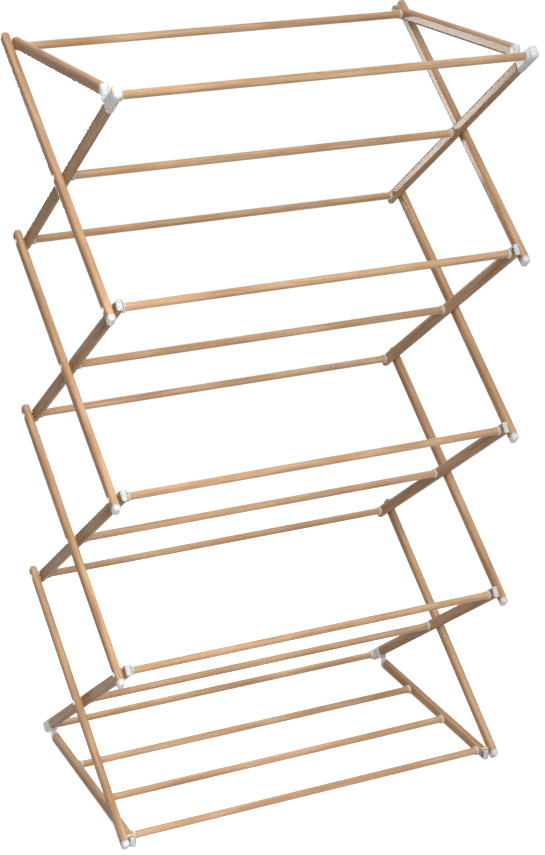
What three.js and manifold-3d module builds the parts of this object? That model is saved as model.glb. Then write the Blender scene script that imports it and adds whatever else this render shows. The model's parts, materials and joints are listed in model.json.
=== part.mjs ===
// A free-standing accordion clothes drying rack: four scissor tiers on each side,
// joined by round hanging rods, with hinged top links and hinged floor rails
// that hold it open. Millimetres, +X to the rack's right, +Y to its back, +Z up.
// The origin is on the floor, in the middle between front, back, left and right.
import * as THREE from 'three';
import { mergeVertices } from 'three/addons/utils/BufferGeometryUtils.js';
import Module from 'manifold-3d';

const wasm = await Module();
wasm.setup();

// Scissor frame
const TIERS = [1, 2, 3, 4]; // counted from the top
const BAR_SPAN = 516; // between a bar's two end pivots
const OPEN_ANGLE = THREE.MathUtils.degToRad(52.4); // each bar from the vertical, rack open
const INNER_PLANE = 352.5; // from the rack's middle to the middle of an inner bar
const PLANE_GAP = 2.5; // between the inner and the outer bars of one side

// Bars: oval steel tube
const BAR_WIDTH = 20;
const BAR_THICKNESS = 13;
const BAR_CORNER = 4;
const WALL = 1;
const TUBE_REACH = 14; // a tube's open, capped end past its pivot
const CLOSED_LENGTH = 6; // how much further a bar's closed end goes
const TIP_CORNER = 7; // on the closed ends of the outer bars and the links
const TAIL_CORNER = 4; // on the closed ends of the inner bars
const CATCH_TIP_LENGTH = 19; // how much further again the top tier's outer bars go, past the catch pin
const END_WALL = 3; // solid length at a bar's closed end

// Rods: round steel tube with a plug and a collar at each end
const ROD_RADIUS = 6.5;
const COLLAR_RADIUS = 8.2;
const COLLAR_LENGTH = 5;
const ROD_PLUG = 10;

// Pivot pins, their rivet heads and the spacers on them
const PIN_RADIUS = 3;
const PIN_REACH = 7; // how far a pin goes into its rod
const HEAD_RADIUS = 4.5;
const HEAD_RIM = 0.5;
const HEAD_HEIGHT = 1.4;
const HEAD_TOP_RADIUS = 2.6;
const SPACER_RADIUS = 5.5;

// Plastic caps
const CAP_LENGTH = 3; // flat caps of the inner bars' top ends and the rails' front ends
const CAP_CORNER = 2;
const FOOT_LENGTH = 11; // caps of the outer bars' bottom ends
const FOOT_CORNER = 4;
const CAP_PLUG = 9; // length of a cap inside its tube, short of the nearest pin

// Corner sockets that the links and rails are hinged to
const SOCKET_SLEEVE = 1.5; // sleeve past the hinge ears, back along the bar
const SOCKET_HEAD = 17; // a top socket's end past its rod's middle
const SOCKET_LIP = 0.6; // stands out from the bar's narrow faces
const SOCKET_SIDE = 1; // stands out from the bar's wide faces
const SOCKET_CORNER = 5;
const SOCKET_END_CORNER = 6;
const BOSS_LENGTH = 3;

// Hinge of a link or rail on its socket
const HINGE_SPACE = 0.5; // between the hinge line and each of the two pieces that fold together
const HINGE_PIN_RADIUS = 1.6;
const EYE_RADIUS = 3.6;
const EAR_RADIUS = 3.8;
const TONGUE_WIDTH = 5;
const KNUCKLE_START = 4.5; // from the hinge line to the knuckle's block
const KNUCKLE_END = 17;

// Links and rails
const CATCH_REACH = 6; // catch pin past its bar's pivot
const LINK_ROD_INSET = 19; // rod of the links, back from their catch pins
const RAIL_ROD_INSET = 12.5; // front rod of the rails, back from their catch pins
const ROD_SPACING = 129; // between the rods on the rails
const LINK_OVERHANG = 19; // a link's round end past its catch pin
const RAIL_OVERHANG = 7; // a rail tube's open end past its catch pin
const CATCH_SHORT = 2; // catch pin ends this far inside the link's inner face

// Fits
const SEAT = 0.3; // gap between pieces that rest on each other
const RUNNING = 0.3; // radial clearance of a pin

// Facets
const ROUND_STEPS = 10;
const PIN_STEPS = 8;
const CORNER_STEPS = 1;
const TIP_STEPS = 3;

// Worked out from the sizes above
const half = BAR_SPAN / 2;
const sin = Math.sin(OPEN_ANGLE);
const cos = Math.cos(OPEN_ANGLE);
const tierHeight = BAR_SPAN * cos;
const pivotY = half * sin;
const barEdge = BAR_WIDTH / 2;
const barFace = BAR_THICKNESS / 2;
const outerPlane = INNER_PLANE + BAR_THICKNESS + PLANE_GAP;
const closedReach = TUBE_REACH + CLOSED_LENGTH; // a bar's closed end past its pivot
const footReach = TUBE_REACH + FOOT_LENGTH;
const footDrop = (footReach - FOOT_CORNER) * cos + (barEdge - FOOT_CORNER) * sin + FOOT_CORNER;
const strutDrop = footDrop - barEdge; // middle of a rail below the lowest pivots
const socketEdge = barEdge + SOCKET_LIP;
const socketFace = barFace + SOCKET_SIDE;
const floorSocketReach = SOCKET_END_CORNER // ends a floor socket level with the feet
  + (footDrop - SOCKET_END_CORNER - (socketEdge - SOCKET_END_CORNER) * sin) / cos;
const hingeRise = barEdge + HINGE_SPACE; // hinge line from a strut's middle
const hingeSide = socketEdge + HINGE_SPACE; // hinge line from a bar's middle
const hingeAlong = (strutDrop - hingeRise - hingeSide * sin) / cos; // hinge line past the pivot level
const socketStart = EAR_RADIUS + SOCKET_SLEEVE - hingeAlong; // back along the bar from the pivot level
const cornerRodReach = strutDrop / cos; // puts the corner rod level with its link or rail
const topSocketReach = cornerRodReach + SOCKET_HEAD;
const hingeY = pivotY + hingeAlong * sin - hingeSide * cos; // hinge line from the rack's middle
const catchY = pivotY + CATCH_REACH * sin;
const catchSide = strutDrop - CATCH_REACH * cos; // catch pin from the middle of its link or rail
const linkRod = catchY - LINK_ROD_INSET; // back from the rack's middle
const railEnd = catchY + RAIL_OVERHANG;
const railRods = [2, 1, 0].map((n) => catchY - RAIL_ROD_INSET - n * ROD_SPACING); // towards the front
const catchDepth = outerPlane - INNER_PLANE + barFace - CATCH_SHORT;
const pinDepth = outerPlane - INNER_PLANE + barFace + PIN_REACH;

const LEFT = { name: 'left', x: -1 };
const RIGHT = { name: 'right', x: 1 };
const SIDES = [LEFT, RIGHT];

const barFinish = { color: 0xa98463, roughness: 0.35, metalness: 0.15 };
const rodFinish = { color: 0xc49c6e, roughness: 0.3, metalness: 0.15 };
const plasticFinish = { color: 0xf1f1f0, roughness: 0.4, metalness: 0 };

// Solids

function solidFrom(geometry) {
  geometry.deleteAttribute('normal');
  geometry.deleteAttribute('uv');
  const merged = mergeVertices(geometry);
  const corners = merged.index.array;
  const triVerts = [];
  for (let i = 0; i < corners.length; i += 3) {
    const [a, b, c] = corners.slice(i, i + 3);
    if (a !== b && b !== c && c !== a) triVerts.push(a, b, c);
  }
  const vertProperties = merged.attributes.position.array;
  return new wasm.Manifold(new wasm.Mesh({
    numProp: 3, vertProperties, triVerts: Uint32Array.from(triVerts),
  }));
}

function geometryFrom(solid) {
  const mesh = solid.getMesh();
  const geometry = new THREE.BufferGeometry();
  geometry.setAttribute('position', new THREE.BufferAttribute(mesh.vertProperties, 3));
  geometry.setIndex(new THREE.BufferAttribute(mesh.triVerts, 1));
  geometry.computeVertexNormals();
  return geometry;
}

// A rounded rectangle from (x0, y0) to (x1, y1), with its own radius at the x0 and the x1 end.
function roundedShape(x0, x1, y0, y1, startRadius, endRadius) {
  const shape = new THREE.Shape();
  const quarter = Math.PI / 2;
  const corner = (x, y, radius, turn) => {
    if (radius > 0) shape.absarc(x, y, radius, turn * quarter, (turn + 1) * quarter);
    else shape.lineTo(x, y);
  };
  shape.moveTo(x1, y1 - endRadius);
  corner(x1 - endRadius, y1 - endRadius, endRadius, 0);
  corner(x0 + startRadius, y1 - startRadius, startRadius, 1);
  corner(x0 + startRadius, y0 + startRadius, startRadius, 2);
  corner(x1 - endRadius, y0 + endRadius, endRadius, 3);
  return shape;
}

function extruded(shape, length, steps) {
  return new THREE.ExtrudeGeometry(shape, { depth: length, bevelEnabled: false, curveSegments: steps });
}

// A bar's section, swept along z. Its face is half its thickness, its edge half its width.
function sectionSolid(face, edge, corner, from, to) {
  const section = roundedShape(-face, face, -edge, edge, corner, corner);
  return solidFrom(extruded(section, to - from, CORNER_STEPS).translate(0, 0, from));
}

// The outline seen from the rack's side, swept across the bar's thickness.
function outlineSolid(face, edge, from, to, startRadius, endRadius) {
  const outline = roundedShape(from, to, -edge, edge, startRadius, endRadius);
  const sweep = extruded(outline, 2 * face, TIP_STEPS);
  return solidFrom(sweep.rotateY(-Math.PI / 2).translate(face, 0, 0));
}

// A turned piece on the x axis. Its profile is [distance along +x, radius], from axis to axis.
function turnedSolid(profile, y, z, toward) {
  const points = profile.map(([along, radius]) => new THREE.Vector2(radius, along));
  const turned = new THREE.LatheGeometry(points, PIN_STEPS);
  return solidFrom(turned.rotateZ(-toward * Math.PI / 2).translate(0, y, z));
}

function drillSolid(radius, y, z) {
  const reach = 2 * BAR_THICKNESS;
  const drill = new THREE.CylinderGeometry(radius, radius, reach, ROUND_STEPS);
  return solidFrom(drill.rotateZ(Math.PI / 2).translate(0, y, z));
}

function boxSolid(x0, x1, y0, y1, z0, z1) {
  const box = new THREE.BoxGeometry(x1 - x0, y1 - y0, z1 - z0);
  return solidFrom(box.translate((x0 + x1) / 2, (y0 + y1) / 2, (z0 + z1) / 2));
}

// A tube from z = from to z = to, with a closed end where that end's radius is more than 0.
function tubeSolid(from, to, startRadius, endRadius) {
  const skin = sectionSolid(barFace, barEdge, BAR_CORNER, from, to)
    .intersect(outlineSolid(barFace + WALL, barEdge, from, to, startRadius, endRadius));
  const hollowFrom = startRadius > 0 ? from + END_WALL : from - WALL;
  const hollowTo = endRadius > 0 ? to - END_WALL : to + WALL;
  const hollowStart = Math.max(startRadius - WALL, 0);
  const hollowEnd = Math.max(endRadius - WALL, 0);
  const hollow = sectionSolid(barFace - WALL, barEdge - WALL, BAR_CORNER - WALL, hollowFrom, hollowTo)
    .intersect(outlineSolid(barFace, barEdge - WALL, hollowFrom, hollowTo, hollowStart, hollowEnd));
  return skin.subtract(hollow);
}

// The part of a cap that fills a tube's end.
function plugSolid(from, to) {
  const slack = WALL + SEAT;
  return sectionSolid(barFace - slack, barEdge - slack, BAR_CORNER - slack, from, to);
}

// Pieces

// Outer bar: it carries its rivet heads, spacers and pivot pins. z runs up along the bar.
function outerBar(tier, side) {
  const onTop = tier === TIERS[0];
  const atFloor = tier === TIERS.at(-1);
  const top = half + closedReach + (onTop ? CATCH_TIP_LENGTH : 0);
  let bar = tubeSolid(-half - TUBE_REACH, top, 0, TIP_CORNER);
  const root = barFace - WALL / 2;
  const spacerEnd = barFace + PLANE_GAP - SEAT;
  const pivots = [0];
  if (!onTop) pivots.push(half);
  if (!atFloor) pivots.push(-half);
  for (const z of pivots) {
    const headTop = barFace + HEAD_HEIGHT;
    const head = [[root, 0], [root, HEAD_RADIUS], [barFace + HEAD_RIM, HEAD_RADIUS],
      [headTop, HEAD_TOP_RADIUS], [headTop, 0]];
    const pin = [[root, 0], [root, SPACER_RADIUS], [spacerEnd, SPACER_RADIUS],
      [spacerEnd, PIN_RADIUS], [pinDepth, PIN_RADIUS], [pinDepth, 0]];
    bar = bar.add(turnedSolid(head, 0, z, side.x)).add(turnedSolid(pin, 0, z, -side.x));
  }
  const catchPin = [[root, 0], [root, PIN_RADIUS], [catchDepth, PIN_RADIUS], [catchDepth, 0]];
  if (onTop) bar = bar.add(turnedSolid(catchPin, 0, half + CATCH_REACH, -side.x));
  if (atFloor) bar = bar.add(turnedSolid(catchPin, 0, -half - CATCH_REACH, -side.x));
  return bar;
}

// Inner bar: bored for the pins of its neighbours. z runs up along the bar.
function innerBar(tier) {
  const onTop = tier === TIERS[0];
  const atFloor = tier === TIERS.at(-1);
  const socketed = half - socketStart - SEAT;
  const top = onTop ? socketed : half + TUBE_REACH;
  const bottom = atFloor ? -socketed : -half - closedReach;
  let bar = tubeSolid(bottom, top, atFloor ? 0 : TAIL_CORNER, 0);
  const pivots = [0];
  if (!onTop) pivots.push(half);
  if (!atFloor) pivots.push(-half);
  for (const z of pivots) bar = bar.subtract(drillSolid(PIN_RADIUS + RUNNING, 0, z));
  return bar;
}

// Cap on a tube's open end: the end is at z = 0 and the cap stands out towards +z.
function endCap(length, cornerRadius) {
  const block = sectionSolid(barFace, barEdge, BAR_CORNER, SEAT, length)
    .intersect(outlineSolid(barFace, barEdge, SEAT, length, 0, cornerRadius));
  return block.add(plugSolid(-CAP_PLUG, SEAT + WALL));
}

// Corner socket on an inner bar's end, with the ears and pin of the hinge and the rod's boss.
// z runs out along the bar from its pivot level to the reach, y towards the hinge.
function socket(reach, side) {
  const block = sectionSolid(socketFace, socketEdge, SOCKET_CORNER, -socketStart, reach)
    .intersect(outlineSolid(socketFace, socketEdge, -socketStart, reach, 0, SOCKET_END_CORNER));
  const plug = plugSolid(-socketStart - CAP_PLUG, WALL - socketStart);
  const ears = [[-socketFace, 0], [-socketFace, EAR_RADIUS], [socketFace, EAR_RADIUS], [socketFace, 0]];
  const slotSide = TONGUE_WIDTH / 2 + SEAT;
  const slotRadius = EYE_RADIUS + HINGE_SPACE;
  const slot = boxSolid(-slotSide, slotSide, hingeSide - slotRadius, hingeSide + slotRadius,
    hingeAlong - slotRadius, hingeAlong + slotRadius);
  const pinEnd = slotSide + WALL;
  const pin = [[-pinEnd, 0], [-pinEnd, HINGE_PIN_RADIUS], [pinEnd, HINGE_PIN_RADIUS], [pinEnd, 0]];
  const root = socketFace - WALL;
  const bossEnd = socketFace + BOSS_LENGTH;
  const boss = [[root, 0], [root, COLLAR_RADIUS], [bossEnd, COLLAR_RADIUS],
    [bossEnd, PIN_RADIUS], [bossEnd + PIN_REACH, PIN_RADIUS], [bossEnd + PIN_REACH, 0]];
  return block.add(plug)
    .add(turnedSolid(ears, hingeSide, hingeAlong, 1))
    .subtract(slot)
    .add(turnedSolid(pin, hingeSide, hingeAlong, 1))
    .add(turnedSolid(boss, 0, cornerRodReach, -side.x));
}

// Knuckle on a link's or rail's hinged end. z runs along the strut from the hinge line,
// and the strut's middle is at y = -hingeRise.
function knuckle() {
  const block = sectionSolid(barFace, barEdge, BAR_CORNER, KNUCKLE_START, KNUCKLE_END);
  const plug = plugSolid(KNUCKLE_END - WALL, KNUCKLE_END + CAP_PLUG);
  const tongueSide = TONGUE_WIDTH / 2;
  const eye = [[-tongueSide, 0], [-tongueSide, EYE_RADIUS], [tongueSide, EYE_RADIUS], [tongueSide, 0]];
  const neck = boxSolid(-tongueSide, tongueSide, -EYE_RADIUS, 0, 0, KNUCKLE_START + WALL);
  return block.add(plug).translate([0, -hingeRise, 0])
    .add(neck)
    .add(turnedSolid(eye, 0, 0, 1))
    .subtract(drillSolid(HINGE_PIN_RADIUS + RUNNING, 0, 0));
}

// Notch for a catch pin at z, open at the strut's inward edge.
function notchSolid(z) {
  const radius = PIN_RADIUS + RUNNING;
  return boxSolid(-BAR_THICKNESS, BAR_THICKNESS, catchSide - radius, BAR_WIDTH, z - radius, z + radius);
}

// Link or rail tube with a spigot for each rod, from its knuckle to its far end.
function strutBar(length, endRadius, rods, side) {
  let bar = tubeSolid(KNUCKLE_END + SEAT, length, 0, endRadius).subtract(notchSolid(hingeY + catchY));
  const spigotEnd = barFace + PIN_REACH;
  const root = barFace - WALL / 2;
  const spigot = [[root, 0], [root, PIN_RADIUS], [spigotEnd, PIN_RADIUS], [spigotEnd, 0]];
  for (const y of rods) bar = bar.add(turnedSolid(spigot, 0, hingeY + y, -side.x));
  return bar.translate([0, -hingeRise, 0]);
}

// Hanging rod along x, half its length each way, with a collar at each end or none.
function rodGeometry(halfLength, collarRadius) {
  const neck = halfLength - COLLAR_LENGTH;
  const plug = halfLength - ROD_PLUG;
  const bore = PIN_RADIUS + RUNNING;
  const hollow = ROD_RADIUS - WALL;
  const profile = [[bore, -halfLength], [collarRadius, -halfLength]];
  if (collarRadius > ROD_RADIUS) {
    profile.push([collarRadius, -neck], [ROD_RADIUS, -neck], [ROD_RADIUS, neck], [collarRadius, neck]);
  }
  profile.push([collarRadius, halfLength], [bore, halfLength], [bore, plug], [hollow, plug],
    [hollow, -plug], [bore, -plug], [bore, -halfLength]);
  const points = profile.map(([radius, along]) => new THREE.Vector2(radius, along));
  return new THREE.LatheGeometry(points, ROUND_STEPS).rotateZ(-Math.PI / 2);
}

// Assembly

// A piece whose z axis leans from the vertical towards the front by the tilt.
function place(group, name, geometry, finish, x, y, z, tilt) {
  const mesh = new THREE.Mesh(geometry, new THREE.MeshStandardMaterial(finish));
  mesh.name = name;
  mesh.position.set(x, y, z);
  mesh.rotation.x = tilt;
  group.add(mesh);
}

const towardFront = Math.PI / 2;
const rodHalf = INNER_PLANE - barFace - SEAT;
const cornerRodHalf = INNER_PLANE - socketFace - BOSS_LENGTH - SEAT;
const collaredRod = () => rodGeometry(rodHalf, COLLAR_RADIUS);
const cornerRod = () => rodGeometry(cornerRodHalf, ROD_RADIUS);
const topZ = footDrop + TIERS.length * tierHeight;

function scissorTier(tier) {
  const group = new THREE.Group();
  const onTop = tier === TIERS[0];
  const atFloor = tier === TIERS.at(-1);
  group.position.z = topZ - (tier - 0.5) * tierHeight;
  for (const side of SIDES) {
    const inner = side.x * INNER_PLANE;
    const outer = side.x * outerPlane;
    const label = `${side.name}_${tier}`;
    const outerGeometry = geometryFrom(outerBar(tier, side));
    const innerGeometry = geometryFrom(innerBar(tier));
    place(group, `outer_bar_${label}`, outerGeometry, barFinish, outer, 0, 0, -OPEN_ANGLE);
    place(group, `inner_bar_${label}`, innerGeometry, barFinish, inner, 0, 0, OPEN_ANGLE);
    const capped = half + TUBE_REACH;
    const foot = geometryFrom(endCap(FOOT_LENGTH, FOOT_CORNER));
    place(group, `foot_cap_${label}`, foot, plasticFinish, outer, -capped * sin, -capped * cos,
      Math.PI - OPEN_ANGLE);
    if (onTop) {
      const topSocket = geometryFrom(socket(topSocketReach, side));
      place(group, `top_socket_${side.name}`, topSocket, plasticFinish,
        inner, -half * sin, half * cos, OPEN_ANGLE);
    } else {
      const cap = geometryFrom(endCap(CAP_LENGTH, CAP_CORNER));
      place(group, `top_cap_${label}`, cap, plasticFinish, inner, -capped * sin, capped * cos, OPEN_ANGLE);
    }
    if (atFloor) {
      const floorSocket = geometryFrom(socket(floorSocketReach, side));
      place(group, `floor_socket_${side.name}`, floorSocket, plasticFinish,
        inner, half * sin, -half * cos, OPEN_ANGLE + Math.PI);
    }
  }
  place(group, `middle_rod_${tier}`, collaredRod(), rodFinish, 0, 0, 0, 0);
  const corner = half + cornerRodReach;
  if (onTop) place(group, 'top_front_rod', cornerRod(), rodFinish, 0, -corner * sin, corner * cos, 0);
  else place(group, `front_rod_${tier}`, collaredRod(), rodFinish, 0, -half * sin, half * cos, 0);
  if (atFloor) place(group, 'floor_back_rod', cornerRod(), rodFinish, 0, corner * sin, -corner * cos, 0);
  else place(group, `back_rod_${tier}`, collaredRod(), rodFinish, 0, half * sin, -half * cos, 0);
  return group;
}

function topLinks() {
  const group = new THREE.Group();
  group.position.set(0, -hingeY, topZ + strutDrop - hingeRise);
  const length = hingeY + catchY + LINK_OVERHANG;
  for (const side of SIDES) {
    const x = side.x * INNER_PLANE;
    const link = geometryFrom(strutBar(length, TIP_CORNER, [linkRod], side));
    place(group, `top_link_${side.name}`, link, barFinish, x, 0, 0, -towardFront);
    place(group, `link_knuckle_${side.name}`, geometryFrom(knuckle()), plasticFinish, x, 0, 0, -towardFront);
  }
  place(group, 'top_back_rod', collaredRod(), rodFinish, 0, hingeY + linkRod, hingeRise, 0);
  return group;
}

function floorRails() {
  const group = new THREE.Group();
  group.position.set(0, hingeY, footDrop - strutDrop + hingeRise);
  for (const side of SIDES) {
    const x = side.x * INNER_PLANE;
    const rail = geometryFrom(strutBar(hingeY + railEnd, 0, railRods, side));
    place(group, `floor_rail_${side.name}`, rail, barFinish, x, 0, 0, towardFront);
    place(group, `rail_knuckle_${side.name}`, geometryFrom(knuckle()), plasticFinish, x, 0, 0, towardFront);
    const cap = geometryFrom(endCap(CAP_LENGTH, CAP_CORNER).subtract(notchSolid(-RAIL_OVERHANG)));
    place(group, `rail_cap_${side.name}`, cap, plasticFinish, x, -hingeY - railEnd, -hingeRise, towardFront);
  }
  for (const [index, y] of railRods.entries()) {
    place(group, `floor_rod_${index + 1}`, collaredRod(), rodFinish, 0, -hingeY - y, -hingeRise, 0);
  }
  return group;
}

const rack = new THREE.Group();
rack.add(topLinks());
for (const tier of TIERS) rack.add(scissorTier(tier));
rack.add(floorRails());

export default rack;
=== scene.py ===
"""The looks of a free-standing accordion clothes drying rack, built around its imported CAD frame.

Shapes are written in millimetres in each piece's own frame, as the CAD has them: x across a bar's
thickness, y across its width and z along it. Objects are placed in metres, in the frame's axes.
"""
import json
import math

import bmesh
import bpy
from mathutils import Matrix, Vector


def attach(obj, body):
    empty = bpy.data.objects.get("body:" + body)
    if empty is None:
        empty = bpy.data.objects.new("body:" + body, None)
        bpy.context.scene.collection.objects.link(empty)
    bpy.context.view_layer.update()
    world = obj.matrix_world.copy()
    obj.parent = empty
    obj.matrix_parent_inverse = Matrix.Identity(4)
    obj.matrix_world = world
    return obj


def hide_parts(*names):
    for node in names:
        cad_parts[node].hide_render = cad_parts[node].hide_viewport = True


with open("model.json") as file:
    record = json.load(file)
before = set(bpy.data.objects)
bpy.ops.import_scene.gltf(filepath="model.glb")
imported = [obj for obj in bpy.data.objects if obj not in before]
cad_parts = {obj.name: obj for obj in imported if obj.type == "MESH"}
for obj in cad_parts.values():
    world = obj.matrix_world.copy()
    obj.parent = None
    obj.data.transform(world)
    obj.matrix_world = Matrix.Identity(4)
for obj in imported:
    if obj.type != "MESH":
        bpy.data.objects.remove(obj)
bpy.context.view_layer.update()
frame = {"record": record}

MM = 0.001
PLACE_NAME = "local_place"

# Scissor frame, as in the CAD
TIERS = (1, 2, 3, 4)
BAR_SPAN = 516
OPEN_ANGLE = math.radians(52.4)
INNER_PLANE = 352.5
PLANE_GAP = 2.5
BAR_WIDTH = 20
BAR_THICKNESS = 13
TUBE_REACH = 14
CLOSED_LENGTH = 6
TIP_CORNER = 7
CATCH_TIP_LENGTH = 19
ROD_RADIUS = 6.5
COLLAR_RADIUS = 8.2
COLLAR_LENGTH = 5
PIN_RADIUS = 3
CAP_LENGTH = 3
CAP_CORNER = 2
FOOT_LENGTH = 11
FOOT_CORNER = 4
SOCKET_SLEEVE = 1.5
SOCKET_HEAD = 17
SOCKET_LIP = 0.6
SOCKET_SIDE = 1
SOCKET_END_CORNER = 6
BOSS_LENGTH = 3
HINGE_SPACE = 0.5
EYE_RADIUS = 3.6
EAR_RADIUS = 3.8
TONGUE_WIDTH = 5
KNUCKLE_START = 4.5
KNUCKLE_END = 17
CATCH_REACH = 6
LINK_ROD_INSET = 19
RAIL_ROD_INSET = 12.5
ROD_SPACING = 129
LINK_OVERHANG = 19
RAIL_OVERHANG = 7
CATCH_SHORT = 2
SEAT = 0.3
RUNNING = 0.3
HEAD_RADIUS = 4.5
PIN_END = 22                # how far a pivot pin reaches past its bar's inner face
SPACER_RADIUS = 5.5
SPACER_BORE = 3.1
HINGE_PIN_RADIUS = 1.6

half = BAR_SPAN / 2
sin = math.sin(OPEN_ANGLE)
cos = math.cos(OPEN_ANGLE)
tier_height = BAR_SPAN * cos
edge = BAR_WIDTH / 2
face = BAR_THICKNESS / 2
outer_plane = INNER_PLANE + BAR_THICKNESS + PLANE_GAP
closed_reach = TUBE_REACH + CLOSED_LENGTH
foot_reach = TUBE_REACH + FOOT_LENGTH
foot_drop = (foot_reach - FOOT_CORNER) * cos + (edge - FOOT_CORNER) * sin + FOOT_CORNER
strut_drop = foot_drop - edge
socket_edge = edge + SOCKET_LIP
socket_face = face + SOCKET_SIDE
floor_socket_reach = SOCKET_END_CORNER + (
    foot_drop - SOCKET_END_CORNER - (socket_edge - SOCKET_END_CORNER) * sin) / cos
hinge_rise = edge + HINGE_SPACE
hinge_side = socket_edge + HINGE_SPACE
hinge_along = (strut_drop - hinge_rise - hinge_side * sin) / cos
socket_start = EAR_RADIUS + SOCKET_SLEEVE - hinge_along
corner_rod_reach = strut_drop / cos
top_socket_reach = corner_rod_reach + SOCKET_HEAD
pivot_y = half * sin
hinge_y = pivot_y + hinge_along * sin - hinge_side * cos
catch_y = pivot_y + CATCH_REACH * sin
catch_side = strut_drop - CATCH_REACH * cos
link_rod = catch_y - LINK_ROD_INSET
rail_end = catch_y + RAIL_OVERHANG
top_z = foot_drop + len(TIERS) * tier_height
rod_half = INNER_PLANE - face - SEAT
corner_rod_half = INNER_PLANE - socket_face - BOSS_LENGTH - SEAT

# Roundness of the shown pieces
ROUND = 40
CORNER_STEPS = 8
FILLET_STEPS = 7
BAR_FILLET = (5.2, 5.6)     # how deep a bar's rounding goes into its thickness and its width
SOCKET_FILLET = (5.5, 6.0)
TAIL_CORNER = 4.5           # on the inner bars' closed ends, where the CAD has 4
SLEEVE_CORNER = 0.6
KNUCKLE_CORNER = 3.5
SOCKET_SOFTENING = 0.35
KNUCKLE_SOFTENING = 0.3
SOFTENED_FROM = math.radians(48)
SHARP_FROM = math.radians(38)
SMOOTHING_WEIGHT = 60
PATTERN_SHIFT = (0.31, 0.47, 2.9)   # metres, times each piece's own random number

# Floor and light
FLOOR_HALF = 9000
FLOOR_BELOW = 0.6           # how far the floor lies under the frame's zero
FLOOR_LIFT = 0.60
FLOOR_BOUNCE = (0.25, 0.25, 0.25, 1)
FADE_START = 0.7            # metres from the rack's middle, and so is FADE_END
FADE_END = 1.5
WORLD_LIGHT = 0.14
WORLD_SHOWN = 1.0

SIDES = (("left", -1), ("right", 1))
body_of = {node: body for body, nodes in frame["record"]["behaviour"]["bodies"].items()
           for node in nodes}


# Meshes

def loft(mesh, rings, looped=False):
    """A skin over rings of equal length, with flat ends unless it closes on itself."""
    rows = [[mesh.verts.new(Vector(point) * MM) for point in ring] for ring in rings]
    count = len(rows[0])
    pairs = list(zip(rows, rows[1:]))
    if looped:
        pairs.append((rows[-1], rows[0]))
    for lower, upper in pairs:
        for i in range(count):
            j = (i + 1) % count
            mesh.faces.new((lower[i], lower[j], upper[j], upper[i]))
    if not looped:
        mesh.faces.new(rows[0][::-1])
        mesh.faces.new(rows[-1])


def outline(x, start, end, side, start_radius, end_radius):
    """A rounded rectangle in the y-z plane. A radius of None leaves that end cut square."""
    points = []
    ends = ((end, 1, end_radius, 0), (end, -1, end_radius, 90),
            (start, -1, start_radius, 180), (start, 1, start_radius, 270))
    for z, across, radius, turn in ends:
        if radius is None:
            points.append((x, across * side, z))
            continue
        inward = -1 if z == end else 1
        for k in range(CORNER_STEPS + 1):
            angle = math.radians(turn + 90 * k / CORNER_STEPS)
            points.append((x, across * (side - radius) + radius * math.cos(angle),
                           z + inward * radius + radius * math.sin(angle)))
    return points


def slab(mesh, thick, side, start, end, start_radius, end_radius, fillet, shift=0):
    """A bar's solid: its side view swept across its thickness, with rounded long edges."""
    depth, inset = fillet
    rings = []
    for toward in (-1, 1):
        steps = range(FILLET_STEPS + 1)
        for k in steps if toward < 0 else reversed(steps):
            angle = math.pi / 2 * k / FILLET_STEPS
            x = toward * (thick - depth + depth * math.cos(angle))
            inward = inset * (1 - math.sin(angle))
            ends = []
            for z, radius, way in ((start, start_radius, 1), (end, end_radius, -1)):
                if radius is None:
                    ends.append((z, None))
                else:
                    ends.append((z + way * inward, max(radius - inward, 0.05)))
            (low, low_radius), (high, high_radius) = ends
            ring = outline(x, low, high, side - inward, low_radius, high_radius)
            rings.append([(px, py + shift, pz) for px, py, pz in ring])
    loft(mesh, rings)


def turned(mesh, profile, y=0, z=0, toward=1, looped=False):
    """A turned solid on the x axis. Its profile is (distance along x, radius)."""
    rings = []
    for along, radius in profile:
        rings.append([(toward * along,
                       y + radius * math.cos(2 * math.pi * k / ROUND),
                       z + radius * math.sin(2 * math.pi * k / ROUND)) for k in range(ROUND)])
    loft(mesh, rings, looped)


def box(mesh, x0, x1, y0, y1, z0, z1):
    loft(mesh, [[(x, y0, z0), (x, y1, z0), (x, y1, z1), (x, y0, z1)] for x in (x0, x1)])


def mesh_object(name, build):
    """An object from a function that fills a bmesh."""
    mesh = bmesh.new()
    build(mesh)
    bmesh.ops.recalc_face_normals(mesh, faces=mesh.faces)
    data = bpy.data.meshes.new(name)
    mesh.to_mesh(data)
    mesh.free()
    thing = bpy.data.objects.new(name, data)
    bpy.context.scene.collection.objects.link(thing)
    return thing


def carve(thing, build, operation):
    """Joins another solid to an object's mesh, or cuts it out, and keeps the result."""
    tool = mesh_object("carving_tool", build)
    modifier = thing.modifiers.new("carve", "BOOLEAN")
    modifier.operation = operation
    modifier.solver = "EXACT"
    modifier.object = tool
    apply_modifiers(thing)
    bpy.data.objects.remove(tool)


def apply_modifiers(thing):
    bpy.context.view_layer.update()
    graph = bpy.context.evaluated_depsgraph_get()
    data = bpy.data.meshes.new_from_object(thing.evaluated_get(graph))
    thing.modifiers.clear()
    thing.data = data


def soften(thing, width):
    """Rounds an object's sharp edges."""
    modifier = thing.modifiers.new("soften", "BEVEL")
    modifier.width = width * MM
    modifier.segments = 2
    modifier.limit_method = "ANGLE"
    modifier.angle_limit = SOFTENED_FROM
    apply_modifiers(thing)


def settle(thing, matrix):
    """Moves an object's mesh to its place. The points it had before stay with it, for its grain."""
    data = thing.data
    before = data.attributes.new(PLACE_NAME, "FLOAT_VECTOR", "POINT")
    before.data.foreach_set("vector", [value for vertex in data.vertices for value in vertex.co])
    data.transform(matrix)
    thing.matrix_world = Matrix.Identity(4)


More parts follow.
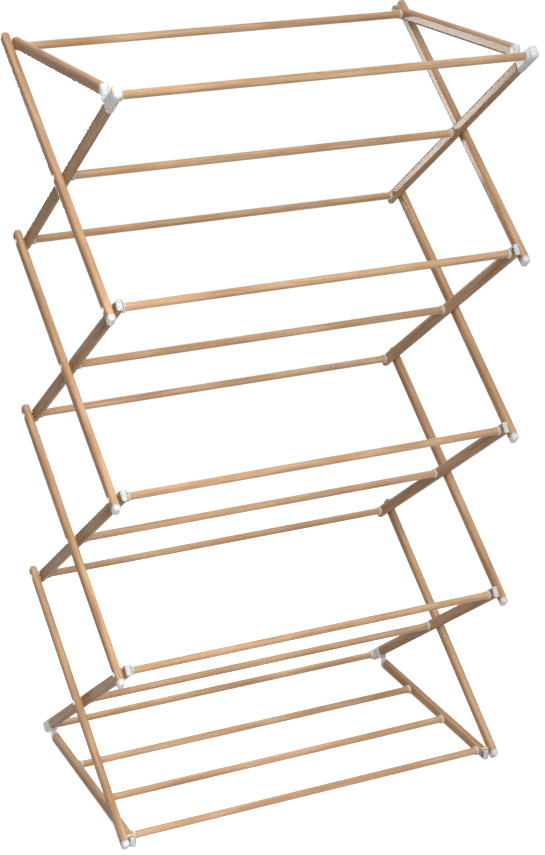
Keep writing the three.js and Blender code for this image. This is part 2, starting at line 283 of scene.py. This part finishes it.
def smooth(thing):
    for polygon in thing.data.polygons:
        polygon.use_smooth = True
    thing.data.set_sharp_from_angle(angle=SHARP_FROM)
    weighted = thing.modifiers.new("weighted", "WEIGHTED_NORMAL")
    weighted.keep_sharp = True
    weighted.weight = SMOOTHING_WEIGHT


# Materials

def linear(red, green, blue):
    """A colour's linear values, from its 0 to 255 values as seen on a screen."""
    def part(value):
        value /= 255
        return value / 12.92 if value <= 0.04045 else ((value + 0.055) / 1.055) ** 2.4
    return (part(red), part(green), part(blue), 1)


class Finish:
    """A procedural material, and short ways to add its nodes."""

    def __init__(self, name):
        self.material = bpy.data.materials.new(name)
        self.material.use_nodes = True
        self.tree = self.material.node_tree
        self.shader = self.tree.nodes["Principled BSDF"]
        coordinates = self.node("ShaderNodeAttribute", attribute_name=PLACE_NAME)
        info = self.node("ShaderNodeObjectInfo")
        apart = self.node("ShaderNodeVectorMath", operation="SCALE")
        apart.inputs[0].default_value = PATTERN_SHIFT
        self.link(info.outputs["Random"], apart.inputs["Scale"])
        moved = self.node("ShaderNodeVectorMath", operation="ADD")
        self.link(coordinates.outputs["Vector"], moved.inputs[0])
        self.link(apart.outputs[0], moved.inputs[1])
        self.place = moved.outputs[0]

    def node(self, kind, **settings):
        made = self.tree.nodes.new(kind)
        for key, value in settings.items():
            setattr(made, key, value)
        return made

    def link(self, source, target):
        self.tree.links.new(source, target)

    def set(self, **values):
        for key, value in values.items():
            self.shader.inputs[key.replace("_", " ")].default_value = value

    def noise(self, scale, stretch=(1, 1, 1), detail=3, roughness=0.5, distortion=0):
        mapping = self.node("ShaderNodeMapping")
        mapping.inputs["Scale"].default_value = stretch
        self.link(self.place, mapping.inputs["Vector"])
        made = self.node("ShaderNodeTexNoise")
        made.inputs["Scale"].default_value = scale
        made.inputs["Detail"].default_value = detail
        made.inputs["Roughness"].default_value = roughness
        made.inputs["Distortion"].default_value = distortion
        self.link(mapping.outputs[0], made.inputs["Vector"])
        return made.outputs["Fac"]

    def ramp(self, source, *stops):
        made = self.node("ShaderNodeValToRGB")
        elements = made.color_ramp.elements
        while len(elements) < len(stops):
            elements.new(0.5)
        for element, (position, colour) in zip(elements, stops):
            element.position = position
            element.color = colour
        self.link(source, made.inputs["Fac"])
        return made.outputs["Color"]

    def mix(self, factor, first, second):
        made = self.node("ShaderNodeMix", data_type="RGBA")
        for source, socket in ((factor, 0), (first, 6), (second, 7)):
            if isinstance(source, (int, float, tuple)):
                made.inputs[socket].default_value = source
            else:
                self.link(source, made.inputs[socket])
        return made.outputs[2]

    def blend(self, first, second, share):
        """One grey value from two, the second with the given share."""
        made = self.node("ShaderNodeMix", data_type="FLOAT")
        made.inputs[0].default_value = share
        self.link(first, made.inputs[2])
        self.link(second, made.inputs[3])
        return made.outputs[0]

    def spread(self, source, low, high):
        """A grey value taken from about 0.3 to 0.7 and spread between two values."""
        made = self.node("ShaderNodeMapRange")
        made.inputs["From Min"].default_value = 0.3
        made.inputs["From Max"].default_value = 0.7
        made.inputs["To Min"].default_value = low
        made.inputs["To Max"].default_value = high
        self.link(source, made.inputs["Value"])
        return made.outputs["Result"]

    def bump(self, height, strength, distance):
        made = self.node("ShaderNodeBump")
        made.inputs["Strength"].default_value = strength
        made.inputs["Distance"].default_value = distance * MM
        self.link(height, made.inputs["Height"])
        self.link(made.outputs["Normal"], self.shader.inputs["Normal"])

    def edges(self):
        """Near 1 on convex edges and near 0 elsewhere."""
        geometry = self.node("ShaderNodeNewGeometry")
        return self.ramp(geometry.outputs["Pointiness"], (0.52, (0, 0, 0, 1)), (0.60, (1, 1, 1, 1)))


def wood_film(name, pale, middle, deep, pore, gloss):
    """Wood-grain film on steel tube, with its grain along z. Its gloss is all in its clear coat."""
    finish = Finish(name)
    figure = finish.noise(95, (1, 1, 0.05), detail=4, roughness=0.55, distortion=0.5)
    fibre = finish.noise(620, (1, 1, 0.022), detail=3, roughness=0.6)
    cloud = finish.noise(14, (1, 1, 0.5), detail=2)
    grain = finish.blend(finish.blend(figure, fibre, 0.42), cloud, 0.22)
    colour = finish.ramp(grain, (0.40, deep), (0.5, middle), (0.60, pale))
    pores = finish.ramp(finish.noise(1500, (1, 1, 0.012), detail=2),
                        (0.60, (0, 0, 0, 1)), (0.70, (1, 1, 1, 1)))
    colour = finish.mix(finish.spread(pores, 0, 0.5), colour, pore)
    scuffs = finish.ramp(finish.noise(260, (1, 1, 0.3), detail=5, roughness=0.75),
                         (0.68, (0, 0, 0, 1)), (0.76, (1, 1, 1, 1)))
    colour = finish.mix(finish.spread(scuffs, 0, 0.05), colour, pale)
    finish.link(colour, finish.shader.inputs["Base Color"])
    wear = finish.blend(cloud, scuffs, 0.3)
    skin = finish.node("ShaderNodeNewGeometry")
    finish.link(skin.outputs["Normal"], finish.shader.inputs["Coat Normal"])
    finish.link(finish.spread(wear, 0.34, 0.46), finish.shader.inputs["Roughness"])
    # A glTF export leaves out a linked coat roughness, and so makes this coat mirror-sharp
    finish.link(finish.spread(wear, 0.21, 0.29), finish.shader.inputs["Coat Roughness"])
    finish.set(Specular_IOR_Level=0, Coat_Weight=gloss, Coat_IOR=1.36)
    finish.bump(fibre, 0.05, 0.05)
    return finish.material


def moulded(name, light, dark, rough):
    """Satin moulded plastic."""
    finish = Finish(name)
    cloud = finish.noise(45, detail=3)
    skin = finish.noise(1700, detail=2)
    colour = finish.ramp(cloud, (0.35, dark), (0.6, light))
    worn = tuple(0.9 * part for part in dark[:3]) + (1,)
    edge_wear = finish.mix(finish.noise(300, detail=4), (0, 0, 0, 1), finish.edges())
    colour = finish.mix(finish.spread(edge_wear, 0, 0.35), colour, worn)
    finish.link(colour, finish.shader.inputs["Base Color"])
    finish.link(finish.spread(finish.blend(cloud, skin, 0.5), *rough),
                finish.shader.inputs["Roughness"])
    finish.set(IOR=1.46, Subsurface_Weight=0.8, Subsurface_Radius=(1.0, 0.95, 0.92),
               Subsurface_Scale=0.012)
    finish.bump(skin, 0.10, 0.05)
    return finish.material


def metal(name, light, dark, rough):
    """Plated metal with fine turning marks."""
    finish = Finish(name)
    stain = finish.noise(160, detail=4, roughness=0.6)
    marks = finish.noise(2400, (1, 0.2, 0.2), detail=2)
    colour = finish.ramp(stain, (0.36, dark), (0.58, light))
    colour = finish.mix(finish.spread(finish.edges(), 0, 0.4), colour, light)
    finish.link(colour, finish.shader.inputs["Base Color"])
    finish.link(finish.spread(finish.blend(stain, marks, 0.5), *rough),
                finish.shader.inputs["Roughness"])
    finish.set(Metallic=1.0)
    finish.bump(marks, 0.15, 0.03)
    return finish.material


BAR_FILM = wood_film("bar_film", linear(226, 189, 151), linear(208, 166, 126),
                     linear(181, 137, 100), linear(140, 98, 66), 0.35)
ROD_FILM = wood_film("rod_film", linear(226, 191, 154), linear(209, 168, 128),
                     linear(186, 144, 106), linear(146, 105, 72), 1.0)
PLASTIC = moulded("white_moulding", linear(246, 246, 245), linear(238, 238, 238), (0.34, 0.46))
STEEL = metal("zinc_plate", linear(232, 232, 230), linear(200, 200, 198), (0.22, 0.36))
BRASS = metal("yellow_plate", linear(214, 178, 92), linear(184, 146, 70), (0.24, 0.40))

FINISHES = {"bar_finish": BAR_FILM, "rod_finish": ROD_FILM, "white_plastic": PLASTIC,
            "rivet_steel": STEEL, "spacer_brass": BRASS}


# Placing

def place(thing, slot, node, where, tilt=0.0, replaces=True, along_x=False):
    """Puts a piece in its place on a CAD node's body. It replaces that node if replaces is on."""
    turn = Matrix.Rotation(math.radians(90), 4, "Y") if along_x else Matrix.Rotation(tilt, 4, "X")
    settle(thing, Matrix.Translation(Vector(where) * MM) @ turn)
    thing.data.materials.clear()
    thing.data.materials.append(FINISHES[slot])
    smooth(thing)
    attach(thing, body_of[node])
    if replaces:
        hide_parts(node)


# Pieces

def outer_bar(tier, side, way, where, tilt):
    node = f"outer_bar_{side}_{tier}"
    on_top = tier == TIERS[0]
    at_floor = tier == TIERS[-1]
    top = half + closed_reach + (CATCH_TIP_LENGTH if on_top else 0)
    bottom = -half - TUBE_REACH
    tube = mesh_object(f"{node}_tube", lambda mesh: slab(
        mesh, face, edge, bottom, top, None, TIP_CORNER, BAR_FILLET))
    place(tube, "bar_finish", node, where, tilt)
    pivots = [0]
    if not on_top:
        pivots.append(half)
    if not at_floor:
        pivots.append(-half)
    catch = half + CATCH_REACH if on_top else -half - CATCH_REACH

    def rivets(mesh):
        head = [(-face - PIN_END - 0.4, 2.2), (-face - PIN_END, PIN_RADIUS),
                (face - 0.2, PIN_RADIUS), (face - 0.2, 4.2), (face + 0.1, HEAD_RADIUS),
                (face + 0.5, HEAD_RADIUS), (face + 0.85, 4.05), (face + 1.15, 3.2),
                (face + 1.3, 2.2), (face + 1.33, 1.5), (face + 1.1, 1.0)]
        for z in pivots:
            turned(mesh, head, 0, z, way)
        if on_top or at_floor:
            end = outer_plane - INNER_PLANE + face - CATCH_SHORT
            turned(mesh, [(-end, 2.3), (0.7 - end, PIN_RADIUS), (-face + 1, PIN_RADIUS),
                          (-face + 1, 2)], 0, catch, way)

    def spacers(mesh):
        near = face + 0.05
        far = face + PLANE_GAP - SEAT
        ring = [(near, SPACER_BORE), (near, 5.3), (near + 0.2, SPACER_RADIUS),
                (far - 0.2, SPACER_RADIUS), (far, 5.3), (far, SPACER_BORE)]
        for z in pivots:
            turned(mesh, ring, 0, z, -way, looped=True)

    place(mesh_object(f"rivets_{side}_{tier}", rivets), "rivet_steel", node, where, tilt,
          replaces=False)
    place(mesh_object(f"spacers_{side}_{tier}", spacers), "spacer_brass", node, where, tilt,
          replaces=False)


def inner_bar(tier, side, where, tilt):
    node = f"inner_bar_{side}_{tier}"
    socketed = half - socket_start - SEAT
    top = socketed if tier == TIERS[0] else half + TUBE_REACH
    closed = tier != TIERS[-1]
    bottom = -half - closed_reach if closed else -socketed
    tube = mesh_object(f"{node}_tube", lambda mesh: slab(
        mesh, face, edge, bottom, top, TAIL_CORNER if closed else None, None, BAR_FILLET))
    place(tube, "bar_finish", node, where, tilt)


def end_cap(name, node, length, corner, where, tilt):
    cap = mesh_object(name, lambda mesh: slab(
        mesh, face, edge, 0, length, None, corner, BAR_FILLET))
    place(cap, "white_plastic", node, where, tilt)


def socket(name, node, reach, way, where, tilt):
    """Corner connector: a sleeve on the bar, a boss for the corner rod and ears for the hinge."""
    piece = mesh_object(name, lambda mesh: slab(
        mesh, socket_face, socket_edge, -socket_start, reach, SLEEVE_CORNER, SOCKET_END_CORNER,
        SOCKET_FILLET))
    ear = [(-socket_face, 3.2), (0.6 - socket_face, EAR_RADIUS), (socket_face - 0.6, EAR_RADIUS),
           (socket_face, 3.2)]
    carve(piece, lambda mesh: turned(mesh, ear, hinge_side, hinge_along), "UNION")
    slot_side = TONGUE_WIDTH / 2 + SEAT
    room = EYE_RADIUS + HINGE_SPACE
    carve(piece, lambda mesh: box(
        mesh, -slot_side, slot_side, hinge_side - room, hinge_side + room + 1,
        hinge_along - room, hinge_along + room), "DIFFERENCE")
    boss = [(socket_face - 2, COLLAR_RADIUS), (socket_face + 0.4, COLLAR_RADIUS + 0.9),
            (socket_face + 1.1, COLLAR_RADIUS + 0.1),
            (socket_face + BOSS_LENGTH - 0.6, COLLAR_RADIUS),
            (socket_face + BOSS_LENGTH, COLLAR_RADIUS - 0.6)]
    carve(piece, lambda mesh: turned(mesh, boss, 0, corner_rod_reach, -way), "UNION")
    soften(piece, SOCKET_SOFTENING)
    place(piece, "white_plastic", node, where, tilt)
    pin = [(-socket_face - 0.3, 1.0), (-socket_face, HINGE_PIN_RADIUS),
           (socket_face, HINGE_PIN_RADIUS), (socket_face + 0.3, 1.0)]
    hinge = mesh_object(f"{name}_hinge_pin",
                        lambda mesh: turned(mesh, pin, hinge_side, hinge_along))
    place(hinge, "rivet_steel", node, where, tilt, replaces=False)


def knuckle(name, node, where, tilt):
    """The hinged end of a link or rail: a block in the tube with a tongue between the ears."""
    piece = mesh_object(name, lambda mesh: slab(
        mesh, face, edge, KNUCKLE_START, KNUCKLE_END, KNUCKLE_CORNER, None, BAR_FILLET,
        shift=-hinge_rise))
    tongue = TONGUE_WIDTH / 2
    eye = [(-tongue, EYE_RADIUS - 0.4), (0.4 - tongue, EYE_RADIUS), (tongue - 0.4, EYE_RADIUS),
           (tongue, EYE_RADIUS - 0.4)]
    carve(piece, lambda mesh: box(
        mesh, -tongue, tongue, -EYE_RADIUS - 1.5, 0, 0, KNUCKLE_START + 4), "UNION")
    carve(piece, lambda mesh: turned(mesh, eye), "UNION")
    soften(piece, KNUCKLE_SOFTENING)
    place(piece, "white_plastic", node, where, tilt)


def notch(z):
    radius = PIN_RADIUS + RUNNING
    return lambda mesh: box(mesh, -BAR_THICKNESS, BAR_THICKNESS, catch_side - radius, BAR_WIDTH,
                            z - radius, z + radius)


def strut(name, node, length, closed, where, tilt):
    """A link's or rail's tube."""
    piece = mesh_object(name, lambda mesh: slab(
        mesh, face, edge, KNUCKLE_END + SEAT, length, None, TIP_CORNER if closed else None,
        BAR_FILLET))
    carve(piece, notch(hinge_y + catch_y), "DIFFERENCE")
    piece.data.transform(Matrix.Translation((0, -hinge_rise * MM, 0)))
    place(piece, "bar_finish", node, where, tilt)


def rod(node, half_length, where, collared=True):
    end = half_length - (COLLAR_LENGTH - 1 if collared else 0)
    profile = [(-end, ROD_RADIUS - 0.3), (0.3 - end, ROD_RADIUS), (end - 0.3, ROD_RADIUS),
               (end, ROD_RADIUS - 0.3)]

    def tube(mesh):
        turned(mesh, profile)
        mesh.transform(Matrix.Rotation(math.radians(-90), 4, "Y"))

    place(mesh_object(f"{node}_tube", tube), "rod_finish", node, where, along_x=True)
    if not collared:
        return

    def collars(mesh):
        near = half_length - COLLAR_LENGTH
        ring = [(near + 1.5, 3.2), (near + 1.5, ROD_RADIUS + 0.1), (near, ROD_RADIUS + 0.1),
                (near, COLLAR_RADIUS - 0.5), (near + 0.5, COLLAR_RADIUS),
                (half_length - 0.5, COLLAR_RADIUS), (half_length, COLLAR_RADIUS - 0.5),
                (half_length, 3.2)]
        for way in (-1, 1):
            turned(mesh, ring, toward=way, looped=True)

    place(mesh_object(f"{node}_collars", collars), "white_plastic", node, where, replaces=False)


corner = half + corner_rod_reach
capped = half + TUBE_REACH
for tier in TIERS:
    level = top_z - (tier - 0.5) * tier_height
    for side, way in SIDES:
        inner = way * INNER_PLANE
        outer = way * outer_plane
        outer_bar(tier, side, way, (outer, 0, level), -OPEN_ANGLE)
        inner_bar(tier, side, (inner, 0, level), OPEN_ANGLE)
        node = f"foot_cap_{side}_{tier}"
        end_cap(f"{node}_moulding", node, FOOT_LENGTH - 0.05, FOOT_CORNER,
                (outer, -capped * sin, level - capped * cos), math.pi - OPEN_ANGLE)
        if tier == TIERS[0]:
            socket(f"top_socket_{side}_moulding", f"top_socket_{side}", top_socket_reach, way,
                   (inner, -half * sin, level + half * cos), OPEN_ANGLE)
        else:
            node = f"top_cap_{side}_{tier}"
            end_cap(f"{node}_moulding", node, CAP_LENGTH, CAP_CORNER,
                    (inner, -capped * sin, level + capped * cos), OPEN_ANGLE)
        if tier == TIERS[-1]:
            socket(f"floor_socket_{side}_moulding", f"floor_socket_{side}", floor_socket_reach, way,
                   (inner, half * sin, level - half * cos), OPEN_ANGLE + math.pi)
    rod(f"middle_rod_{tier}", rod_half, (0, 0, level))
    if tier == TIERS[0]:
        rod("top_front_rod", corner_rod_half, (0, -corner * sin, level + corner * cos),
            collared=False)
    else:
        rod(f"front_rod_{tier}", rod_half, (0, -half * sin, level + half * cos))
    if tier == TIERS[-1]:
        rod("floor_back_rod", corner_rod_half, (0, corner * sin, level - corner * cos),
            collared=False)
    else:
        rod(f"back_rod_{tier}", rod_half, (0, half * sin, level - half * cos))

quarter = math.pi / 2
link_z = top_z + strut_drop - hinge_rise
rail_z = foot_drop - strut_drop + hinge_rise
for side, way in SIDES:
    inner = way * INNER_PLANE
    link_place = (inner, -hinge_y, link_z)
    rail_place = (inner, hinge_y, rail_z)
    strut(f"top_link_{side}_tube", f"top_link_{side}", hinge_y + catch_y + LINK_OVERHANG, True,
          link_place, -quarter)
    knuckle(f"link_knuckle_{side}_moulding", f"link_knuckle_{side}", link_place, -quarter)
    strut(f"floor_rail_{side}_tube", f"floor_rail_{side}", hinge_y + rail_end, False,
          rail_place, quarter)
    knuckle(f"rail_knuckle_{side}_moulding", f"rail_knuckle_{side}", rail_place, quarter)
    end_cap(f"rail_cap_{side}_moulding", f"rail_cap_{side}", CAP_LENGTH, CAP_CORNER,
            (inner, -rail_end, rail_z - hinge_rise), quarter)
rod("top_back_rod", rod_half, (0, link_rod, link_z + hinge_rise))
for index in range(3):
    rod(f"floor_rod_{index + 1}", rod_half,
        (0, RAIL_ROD_INSET - catch_y + (2 - index) * ROD_SPACING, rail_z - hinge_rise))


# Floor, light and camera

def floor_finish():
    """White paint that keeps the shadow, fades to plain white and bounces little light back."""
    finish = Finish("floor_paint")
    seen = finish.node("ShaderNodeLightPath")
    mixed = finish.noise(0.6, detail=2)
    paper = finish.ramp(mixed, (0.3, linear(250, 250, 250)), (0.7, linear(252, 252, 252)))
    shown = finish.node("ShaderNodeBsdfDiffuse")
    finish.link(paper, shown.inputs["Color"])
    lift = finish.node("ShaderNodeEmission")
    lift.inputs["Strength"].default_value = FLOOR_LIFT
    near = finish.node("ShaderNodeAddShader")
    finish.link(shown.outputs[0], near.inputs[0])
    finish.link(lift.outputs[0], near.inputs[1])
    far = finish.node("ShaderNodeEmission")
    spot = finish.node("ShaderNodeTexCoord")
    away = finish.node("ShaderNodeVectorMath", operation="LENGTH")
    finish.link(spot.outputs["Object"], away.inputs[0])
    fade = finish.node("ShaderNodeMapRange", interpolation_type="SMOOTHSTEP")
    fade.inputs["From Min"].default_value = FADE_START
    fade.inputs["From Max"].default_value = FADE_END
    finish.link(away.outputs["Value"], fade.inputs["Value"])
    both = finish.node("ShaderNodeMixShader")
    finish.link(fade.outputs["Result"], both.inputs[0])
    finish.link(near.outputs[0], both.inputs[1])
    finish.link(far.outputs[0], both.inputs[2])
    bounce = finish.node("ShaderNodeBsdfDiffuse")
    bounce.inputs["Color"].default_value = FLOOR_BOUNCE
    either = finish.node("ShaderNodeMath", operation="MAXIMUM")
    finish.link(seen.outputs["Is Camera Ray"], either.inputs[0])
    finish.link(seen.outputs["Is Glossy Ray"], either.inputs[1])
    any_view = finish.node("ShaderNodeMath", operation="MAXIMUM")
    finish.link(either.outputs[0], any_view.inputs[0])
    finish.link(seen.outputs["Is Transmission Ray"], any_view.inputs[1])
    choose = finish.node("ShaderNodeMixShader")
    finish.link(any_view.outputs[0], choose.inputs[0])
    finish.link(bounce.outputs[0], choose.inputs[1])
    finish.link(both.outputs[0], choose.inputs[2])
    finish.link(choose.outputs[0], finish.tree.nodes["Material Output"].inputs["Surface"])
    finish.tree.nodes.remove(finish.shader)
    return finish.material


def studio_floor(mesh):
    points = [(FLOOR_HALF, -FLOOR_HALF), (FLOOR_HALF, FLOOR_HALF),
              (-FLOOR_HALF, FLOOR_HALF), (-FLOOR_HALF, -FLOOR_HALF)]
    corners = [mesh.verts.new(Vector((x, y, -FLOOR_BELOW)) * MM) for x, y in points]
    mesh.faces.new(corners)


floor = mesh_object("studio_floor", studio_floor)
floor.data.materials.append(floor_finish())
floor.active_material.cycles.emission_sampling = "NONE"  # less grain, same light


def world_light():
    """A dim white world that shows as plain white to the camera and in reflections."""
    world = bpy.data.worlds.new("studio")
    bpy.context.scene.world = world
    world.use_nodes = True
    tree = world.node_tree
    background = tree.nodes["Background"]
    background.inputs["Color"].default_value = (1, 1, 1, 1)
    path = tree.nodes.new("ShaderNodeLightPath")
    most = path.outputs["Is Camera Ray"]
    for name in ("Is Glossy Ray", "Is Transmission Ray"):
        either = tree.nodes.new("ShaderNodeMath")
        either.operation = "MAXIMUM"
        tree.links.new(most, either.inputs[0])
        tree.links.new(path.outputs[name], either.inputs[1])
        most = either.outputs[0]
    strength = tree.nodes.new("ShaderNodeMapRange")
    strength.inputs["To Min"].default_value = WORLD_LIGHT
    strength.inputs["To Max"].default_value = WORLD_SHOWN
    tree.links.new(most, strength.inputs["Value"])
    tree.links.new(strength.outputs["Result"], background.inputs["Strength"])


def aim(thing, target):
    """Turns a lamp or camera at a point, with its top kept up."""
    direction = Vector(target) - thing.location
    thing.rotation_euler = direction.to_track_quat("-Z", "Y").to_euler()


def lamp(name, location, target, size, power, spread=180, mirrored=False):
    """A soft panel light, or with mirrored on, a panel that only shows as a reflection.

    A spread in degrees under 180 lets its light fall off towards the sides.
    """
    light = bpy.data.lights.new(name, "AREA")
    light.shape = "RECTANGLE"
    light.size, light.size_y = size
    light.energy = power
    light.spread = math.radians(spread)
    thing = bpy.data.objects.new(name, light)
    thing.location = location
    thing.visible_camera = False
    thing.visible_glossy = mirrored
    thing.visible_diffuse = not mirrored
    bpy.context.scene.collection.objects.link(thing)
    aim(thing, target)


world_light()
lamp("key_light", (-1.0, -2.9, 2.6), target=(-1.0, 0, 0.05), size=(1.8, 1.6), power=38, spread=90)
lamp("top_light", (0.2, 0.2, 7.0), target=(0, 0, 0.7), size=(4.5, 4.5), power=80)
lamp("back_light", (1.0, 3.2, 2.3), target=(0, 0, 0.6), size=(2.4, 1.8), power=60)
lamp("side_panel", (-0.225, 1.0, 0.95), target=(0.35, 0, 1.16), size=(0.34, 0.46), power=10.5,
     mirrored=True)

CAMERA_PLACE = (-1.3953, -2.9192, 1.9104)
CAMERA_TARGET = (-0.0785, 0.0, 0.4242)
CAMERA_ROLL = -0.002
CAMERA_LENS = 83.66
CAMERA_SHIFT = (0.0547, 0.1407)

camera = bpy.data.objects.new("camera", bpy.data.cameras.new("camera"))
bpy.context.scene.collection.objects.link(camera)
bpy.context.scene.camera = camera
camera.data.sensor_fit = "VERTICAL"
camera.data.sensor_height = 36
camera.data.lens = CAMERA_LENS
camera.data.shift_x, camera.data.shift_y = CAMERA_SHIFT
camera.location = CAMERA_PLACE
aim(camera, CAMERA_TARGET)
camera.rotation_euler = (camera.rotation_euler.to_matrix()
                         @ Matrix.Rotation(CAMERA_ROLL, 3, "Z")).to_euler()
bpy.context.scene.view_settings.view_transform = "Standard"
